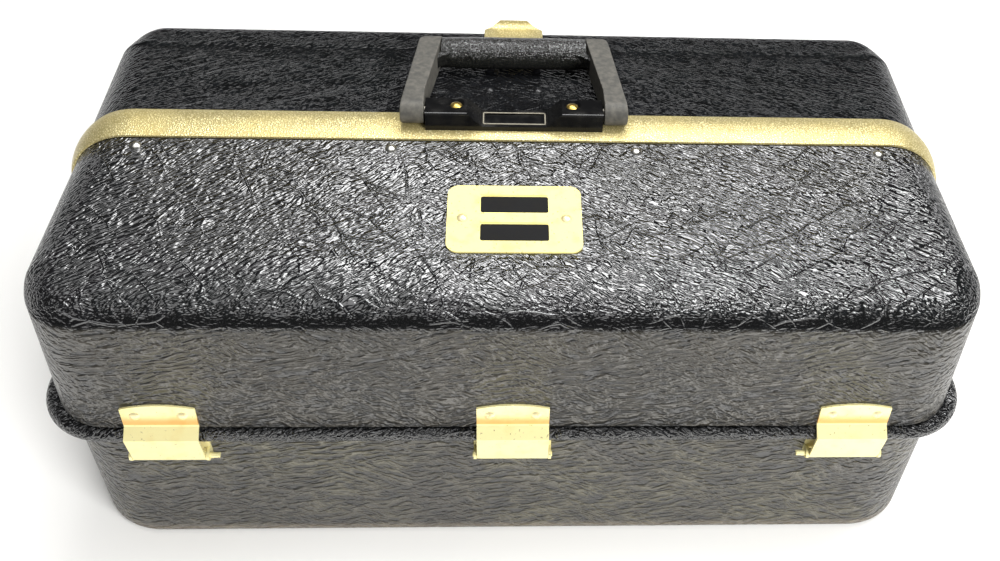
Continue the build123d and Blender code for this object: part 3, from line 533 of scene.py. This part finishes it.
# Injection-moulded ABS with a polished face: deep black with sharp highlights, and paler smears.
def glossy_black_abs(name, rough=0.14, gloss=0.5):
    """Finish of the handle base and, duller, of the nameplate's windows."""
    material, tree, place = new_material(name)
    smears = blotches(tree, place, 11 * MM, 4.0, 0.4, 0.8)
    finish_material(tree, {
        "Base Color": laid_over(tree, linear("#0b0b0c"), linear("#1c1b19"), smears, 1.0),
        "Roughness": duller(tree, smears, rough, 0.16),
        "IOR": 1.53,
        "Specular IOR Level": gloss,
    })
    return material


# Soft vinyl over steel, matte from wear: dark grey with faint mottling.
def matte_vinyl(name):
    """Finish of the handle's legs."""
    handle = tuple(bpy.context.scene.tackle_box_colours.handle)
    material, tree, place = new_material(name)
    mottle = blotches(tree, place, 3.2 * MM, 4.0, 0.3, 0.75)
    finish_material(tree, {
        "Base Color": laid_over(tree, handle, linear("#65625b"), mottle, 1.0),
        "Roughness": 0.62,
        "Normal": fine_grain(tree, place, 0.5 * MM, 0.08 * MM),
        "IOR": 1.48,
    })
    return material


# Moulded vinyl with a fine leather pebble, polished by the hand: black with a row of glints.
def pebbled_vinyl(name):
    """Finish of the grip."""
    material, tree, place = new_material(name)
    pebbles = pebbled(tree, place, bpy.context.scene.tackle_box_sizes.vinyl_pebble, 0.4)
    noise = {"Vector": place, "Scale": 1 / (0.5 * MM), "Detail": 3.0, "Roughness": OCTAVES}
    fine = add_node(tree, "TexNoise", noise)["Fac"]
    fine_share = 0.3
    steps = {0: fine, 1: fine_share, 2: pebbles}
    height = add_node(tree, "Math", steps, operation="MULTIPLY_ADD")["Value"]
    relief = {"Height": height, "Distance": 0.28 * MM, "Strength": 1.0}
    finish_material(tree, {
        "Base Color": laid_over(tree, linear("#0a0a0a"), linear("#33332f"), pebbles, 1.0),
        "Roughness": 0.24,
        "Normal": add_node(tree, "Bump", relief)["Normal"],
        "IOR": 1.6,
        "Specular IOR Level": 0.9,
    })
    return material


# Injection-moulded styrene, dulled by use: a plain warm grey with faint stains.
def tray_styrene(name):
    """Finish of the trays."""
    tray = tuple(bpy.context.scene.tackle_box_colours.tray)
    material, tree, place = new_material(name)
    stains = blotches(tree, place, 30 * MM, 5.0, 0.45, 0.8)
    finish_material(tree, {
        "Base Color": laid_over(tree, tray, linear("#847d6c"), stains, 0.6),
        "Roughness": 0.45,
        "Normal": fine_grain(tree, place, 0.6 * MM, 0.04 * MM),
        "IOR": 1.55,
    })
    return material


# Parts of the stage
def seen_by(tree, kinds):
    """One for a ray of any of these kinds, and nought for others."""
    path = add_node(tree, "LightPath")
    seen = path[kinds[0]]
    for kind in kinds[1:]:
        seen = add_node(tree, "Math", {0: seen, 1: path[kind]}, operation="MAXIMUM")["Value"]
    return seen


def add_floor():
    """White floor, which far from the box looks plain white, also in gloss and through glass."""
    half_side, gap = 6.0, 0.2 * MM
    work = bmesh.new()
    bmesh.ops.create_grid(work, x_segments=1, y_segments=1, size=half_side)
    bmesh.ops.translate(work, verts=work.verts, vec=(0, 0, -gap))
    mesh = bpy.data.meshes.new("white_floor")
    work.to_mesh(mesh)
    work.free()
    floor = bpy.data.objects.new("white_floor", mesh)
    bpy.context.scene.collection.objects.link(floor)

    material, tree, place = new_material("white_floor")
    paint = {"Base Color": linear("#fbfaf7"), "Roughness": 0.9}
    near = add_node(tree, "BsdfPrincipled", paint)["BSDF"]
    distance = add_node(tree, "VectorMath", {0: place}, operation="LENGTH")["Value"]
    limits = {"Value": distance, "From Min": 0.45, "From Max": 0.9}
    far = add_node(tree, "MapRange", limits, **SMOOTH)["Result"]
    seen = seen_by(tree, ("Is Camera Ray", "Is Glossy Ray", "Is Transmission Ray"))
    share = add_node(tree, "Math", {0: far, 1: seen}, operation="MULTIPLY")["Value"]
    white = add_node(tree, "Emission", {"Strength": 1.0})["Emission"]
    surface = add_node(tree, "MixShader", {0: share, 1: near, 2: white})["Shader"]
    add_node(tree, "OutputMaterial", {"Surface": surface})
    mesh.materials.append(material)


def add_room():
    """Dim room with a bright ceiling, which itself looks plain white, also through glass."""
    world = bpy.data.worlds.new("pale_room")
    bpy.context.scene.world = world
    world.use_nodes = True
    tree = world.node_tree
    tree.nodes.clear()
    walls, ceiling = 0.05, 1.65
    towards = add_node(tree, "SeparateXYZ", {0: add_node(tree, "TexCoord")["Generated"]})
    limits = {"Value": towards["Z"], "From Min": 0.78, "From Max": 0.95}
    above = add_node(tree, "MapRange", limits, **SMOOTH)["Result"]
    light = add_node(
        tree, "Math", {0: above, 1: ceiling - walls, 2: walls}, operation="MULTIPLY_ADD"
    )["Value"]
    seen = seen_by(tree, ("Is Camera Ray", "Is Transmission Ray"))
    strength = add_node(tree, "Mix", {FACTOR: seen, FIRST_NUMBER: light, SECOND_NUMBER: 1.0})
    white = {"Color": (1, 1, 1, 1), "Strength": strength[NUMBER]}
    background = add_node(tree, "Background", white)["Background"]
    add_node(tree, "OutputWorld", {"Surface": background})


def add_lamp(name, place, width, depth, radiance, in_gloss=True):
    """Rectangular lamp of an even radiance that faces the middle of the box."""
    middle = Vector((0, 0, 150 * MM))
    data = bpy.data.lights.new(name, "AREA")
    data.shape = "RECTANGLE"
    data.size = width
    data.size_y = depth
    data.energy = radiance * pi * width * depth
    lamp = bpy.data.objects.new(name, data)
    bpy.context.scene.collection.objects.link(lamp)
    lamp.location = place
    lamp.rotation_euler = (middle - Vector(place)).to_track_quat("-Z", "Y").to_euler()
    lamp.visible_glossy = in_gloss


def camera_rotation(pitch, yaw, roll):
    """Rotation of a camera that looks along +Y, turned right, tipped down and rolled."""
    ahead = Vector((sin(yaw) * cos(pitch), cos(yaw) * cos(pitch), -sin(pitch)))
    right = Vector((cos(yaw), -sin(yaw), 0))
    up = right.cross(ahead)
    rolled_right = right * cos(roll) + up * sin(roll)
    rolled_up = up * cos(roll) - right * sin(roll)
    return Matrix((rolled_right, rolled_up, -ahead)).transposed()


def add_camera():
    """Camera at the photograph's place and angle."""
    scene = bpy.context.scene
    view = scene.tackle_box_camera
    data = bpy.data.cameras.new("camera")
    data.sensor_width = 36.0
    data.lens = view.lens
    data.shift_x = view.shift_x
    data.shift_y = view.shift_y
    data.clip_start = 10 * MM
    camera = bpy.data.objects.new("camera", data)
    scene.collection.objects.link(camera)
    rotation = camera_rotation(view.pitch, view.yaw, view.roll)
    camera.matrix_world = Matrix.Translation(view.place) @ rotation.to_4x4()
    scene.camera = camera


# Operators: one for each piece or group of like pieces, and one for the stage
class TACKLEBOX_OT_shells(bpy.types.Operator):
    """Grained plastic of the tub and both lids"""

    bl_idname = "tackle_box.shells"
    bl_label = "Shells"

    def execute(self, context):
        wall_top, roof_start = 175 * MM, 182 * MM
        front = leather_grain_abs(
            "leather_grain_abs_front_lid", wall_top, roof_start, "#34312a", shoulder_fall=12.0
        )
        dress(front, "front_lid")
        # Painted shade: the rear lid is the same plastic as the front lid, with its gloss turned
        # down from 1.0 to 0.15 so that its roof renders dark.
        rear = leather_grain_abs(
            "leather_grain_abs_rear_lid", wall_top, roof_start, "#3f3b34",
            relief=0.5, gloss=0.15, shoulder_fall=24.0,
        )
        dress(rear, "rear_lid")
        rim_low, rim_high = 97.5 * MM, 99.5 * MM
        tub = leather_grain_abs("leather_grain_abs_tub", rim_low, rim_high, "#55513f", relief=1.8)
        dress(tub, "tub")
        return {"FINISHED"}


class TACKLEBOX_OT_strip(bpy.types.Operator):
    """Gold strip over the seam of the lids"""

    bl_idname = "tackle_box.strip"
    bl_label = "Ridge strip"

    def execute(self, context):
        dress(pebbled_gold_aluminium("pebbled_gold_aluminium_strip"), "ridge_strip")
        return {"FINISHED"}


class TACKLEBOX_OT_hinges(bpy.types.Operator):
    """Hinge leaves, brackets and pins"""

    bl_idname = "tackle_box.hinges"
    bl_label = "Hinges"

    def execute(self, context):
        bend, rounding = 110.2 * MM, 0.25 * MM
        gold = bright_gold_plate("bright_gold_plate_hinges", heated=bend)
        plain = bright_gold_plate("bright_gold_plate_brackets")
        for side in ("front", "rear"):
            dress(plain, f"{side}_hinge_pins")
            for place in ("left", "middle", "right"):
                rounded_copy(f"{side}_{place}_hinge_leaf", rounding, gold)
                dress(plain, f"{side}_{place}_hinge_bracket")
        return {"FINISHED"}


class TACKLEBOX_OT_rivets(bpy.types.Operator):
    """Rivets of the shells, hinges, nameplate, latch and handle"""

    bl_idname = "tackle_box.rivets"
    bl_label = "Rivets"

    def execute(self, context):
        bright = faintly_spotted("bright_aluminium_rivets", "#e4e2da", 0.28)
        dress(bright, "closing_rivets", "hinge_bracket_rivets", "bracket_rivets")
        gold = faintly_spotted("gold_plated_rivets", "#f6e9b4", 0.32, "#b98a3e", metallic=0.5)
        dress(gold, "nameplate_rivets", "front_leaf_rivets", "rear_leaf_rivets")
        black = faintly_spotted("black_painted_rivets", "#101012", 0.35, "#1c1c1d", metallic=0.0)
        dress(black, "latch_rivets")
        brass = faintly_spotted("worn_brass_rivets", "#c9ac5c", 0.3, "#5f4a22")
        dress(brass, "handle_base_rivets")
        return {"FINISHED"}


class TACKLEBOX_OT_nameplate(bpy.types.Operator):
    """Plain nameplate with two blank windows"""

    bl_idname = "tackle_box.nameplate"
    bl_label = "Nameplate"

    def execute(self, context):
        gold = bright_gold_plate(
            "bright_gold_plate_nameplate", rough=0.5, metallic=0.0, gloss=0.1, tint="#ecdc7c"
        )
        rounded_copy("nameplate", 0.3 * MM, gold)
        dress(glossy_black_abs("printed_black_windows", rough=0.5, gloss=0.1), "nameplate_windows")
        return {"FINISHED"}


class TACKLEBOX_OT_handle(bpy.types.Operator):
    """Handle base, legs, pins and grip"""

    bl_idname = "tackle_box.handle"
    bl_label = "Handle"

    def execute(self, context):
        rounded_copy("handle_base", 0.7 * MM, glossy_black_abs("glossy_black_abs_base"))
        rounded_copy("handle_frame", 1.0 * MM, matte_vinyl("matte_vinyl_legs"))
        steel = faintly_spotted("plain_steel_handle_pins", "#8f8b82", 0.4)
        dress(steel, "handle_pins")
        vinyl = pebbled_vinyl("pebbled_vinyl_grip")
        dress(vinyl, "handle_grip")
        self.add_corner_webs(context.scene.tackle_box_sizes, vinyl)
        self.add_panel_frame(context.scene.tackle_box_sizes)
        return {"FINISHED"}

    def add_corner_webs(self, sizes, vinyl):
        """Rounded inner corners between the grip and the legs, with the handle folded down."""
        corner_x, corner_y = 47.9 * MM, 63 * MM
        low, high = 208.2 * MM, 215.2 * MM
        body, slot = BODY_OF["handle_grip"], SLOT_OF["handle_grip"]
        for side, name in ((-1, "left"), (1, "right")):
            work = corner_web(side, corner_x, corner_y, sizes.corner_reach, low, high)
            add_piece(f"grip_corner_{name}", work, 0.5 * MM, vinyl, body)

    def add_panel_frame(self, sizes):
        """Pale moulded frame round the panel in the middle of the base."""
        half_x, half_y, middle_y, rail = 17.3 * MM, 5.4 * MM, 1.7 * MM, sizes.panel_rail
        low, high = 212.7 * MM, 213.1 * MM
        front, rear = middle_y - half_y, middle_y + half_y
        bars = {
            "front": (-half_x, front, half_x, front + rail),
            "rear": (-half_x, rear - rail, half_x, rear),
            "left": (-half_x, front, -half_x + rail, rear),
            "right": (half_x - rail, front, half_x, rear),
        }
        pale = faintly_spotted("worn_pale_moulding", "#8e8878", 0.4, "#4a453a", metallic=0.0)
        body, slot = BODY_OF["handle_base"], SLOT_OF["handle_base"]
        for name, (left_x, front_y, right_x, rear_y) in bars.items():
            work = bar((left_x, front_y, low), (right_x, rear_y, high))
            add_piece(f"panel_frame_{name}", work, 0.12 * MM, pale, body)


class TACKLEBOX_OT_latch(bpy.types.Operator):
    """Latch on the rear roof and the bar that it draws back"""

    bl_idname = "tackle_box.latch"
    bl_label = "Latch"

    def execute(self, context):
        gold = pebbled_gold_aluminium("pebbled_gold_latch")
        dress(gold, "latch_base")
        rounded_copy("latch_lever", 0.4 * MM, gold)
        steel = faintly_spotted("plain_steel_latch", "#8f8b82", 0.4)
        dress(steel, "latch_pin", "latch_bar", "latch_bar_guides")
        return {"FINISHED"}


class TACKLEBOX_OT_trays(bpy.types.Operator):
    """Cantilever trays, their arms and brackets, and the closing angle"""

    bl_idname = "tackle_box.trays"
    bl_label = "Trays"

    def execute(self, context):
        styrene = tray_styrene("tray_styrene")
        steel = faintly_spotted("plain_steel_straps", "#8f8b82", 0.38)
        for side in ("front", "rear"):
            dress(styrene, *[f"{side}_tray_{tier}" for tier in (1, 2, 3)])
            dress(steel, f"{side}_outer_tray_arms", f"{side}_inner_tray_arms")
        dress(steel, "tray_brackets", "closing_angle")
        return {"FINISHED"}


class TACKLEBOX_OT_stage(bpy.types.Operator):
    """White floor, soft lamps, pale room and the photograph's camera"""

    bl_idname = "tackle_box.stage"
    bl_label = "Stage"

    def execute(self, context):
        context.scene.view_settings.view_transform = "Standard"
        add_floor()
        add_room()
        add_lamp("window_lamp", (0.28, 0.4, 1.36), width=1.4, depth=0.5, radiance=8.5)
        add_lamp(
            "front_fill", (0.95, -1.35, 1.1), width=1.0, depth=0.8, radiance=18.0, in_gloss=False
        )
        add_camera()
        return {"FINISHED"}


class TACKLEBOX_PT_pieces(bpy.types.Panel):
    """Pieces of the tackle box"""

    bl_idname = "TACKLEBOX_PT_pieces"
    bl_label = "Tackle Box"
    bl_space_type = "VIEW_3D"
    bl_region_type = "UI"
    bl_category = "Tackle Box"

    def draw(self, context):
        for group in [getattr(context.scene, name) for name in GROUPS]:
            box = self.layout.box()
            for name in group.bl_rna.properties.keys():
                if name not in ("rna_type", "name"):
                    box.prop(group, name)
        for operator in OPERATORS:
            self.layout.operator(operator.bl_idname)


OPERATORS = (
    TACKLEBOX_OT_shells,
    TACKLEBOX_OT_strip,
    TACKLEBOX_OT_hinges,
    TACKLEBOX_OT_rivets,
    TACKLEBOX_OT_nameplate,
    TACKLEBOX_OT_handle,
    TACKLEBOX_OT_latch,
    TACKLEBOX_OT_trays,
    TACKLEBOX_OT_stage,
)
GROUPS = {
    "tackle_box_colours": TackleBoxColours,
    "tackle_box_sizes": TackleBoxSizes,
    "tackle_box_camera": TackleBoxCamera,
}


def register():
    """Registers the groups, operators and panel."""
    for name, group in GROUPS.items():
        bpy.utils.register_class(group)
        setattr(bpy.types.Scene, name, PointerProperty(type=group))
    for operator in OPERATORS:
        bpy.utils.register_class(operator)
    bpy.utils.register_class(TACKLEBOX_PT_pieces)


def unregister():
    """Removes what register added."""
    bpy.utils.unregister_class(TACKLEBOX_PT_pieces)
    for operator in reversed(OPERATORS):
        bpy.utils.unregister_class(operator)
    for name, group in GROUPS.items():
        delattr(bpy.types.Scene, name)
        bpy.utils.unregister_class(group)


def main():
    register()
    bpy.ops.tackle_box.shells()
    bpy.ops.tackle_box.strip()
    bpy.ops.tackle_box.hinges()
    bpy.ops.tackle_box.rivets()
    bpy.ops.tackle_box.nameplate()
    bpy.ops.tackle_box.handle()
    bpy.ops.tackle_box.latch()
    bpy.ops.tackle_box.trays()
    bpy.ops.tackle_box.stage()


if __name__ == "__main__":
    main()
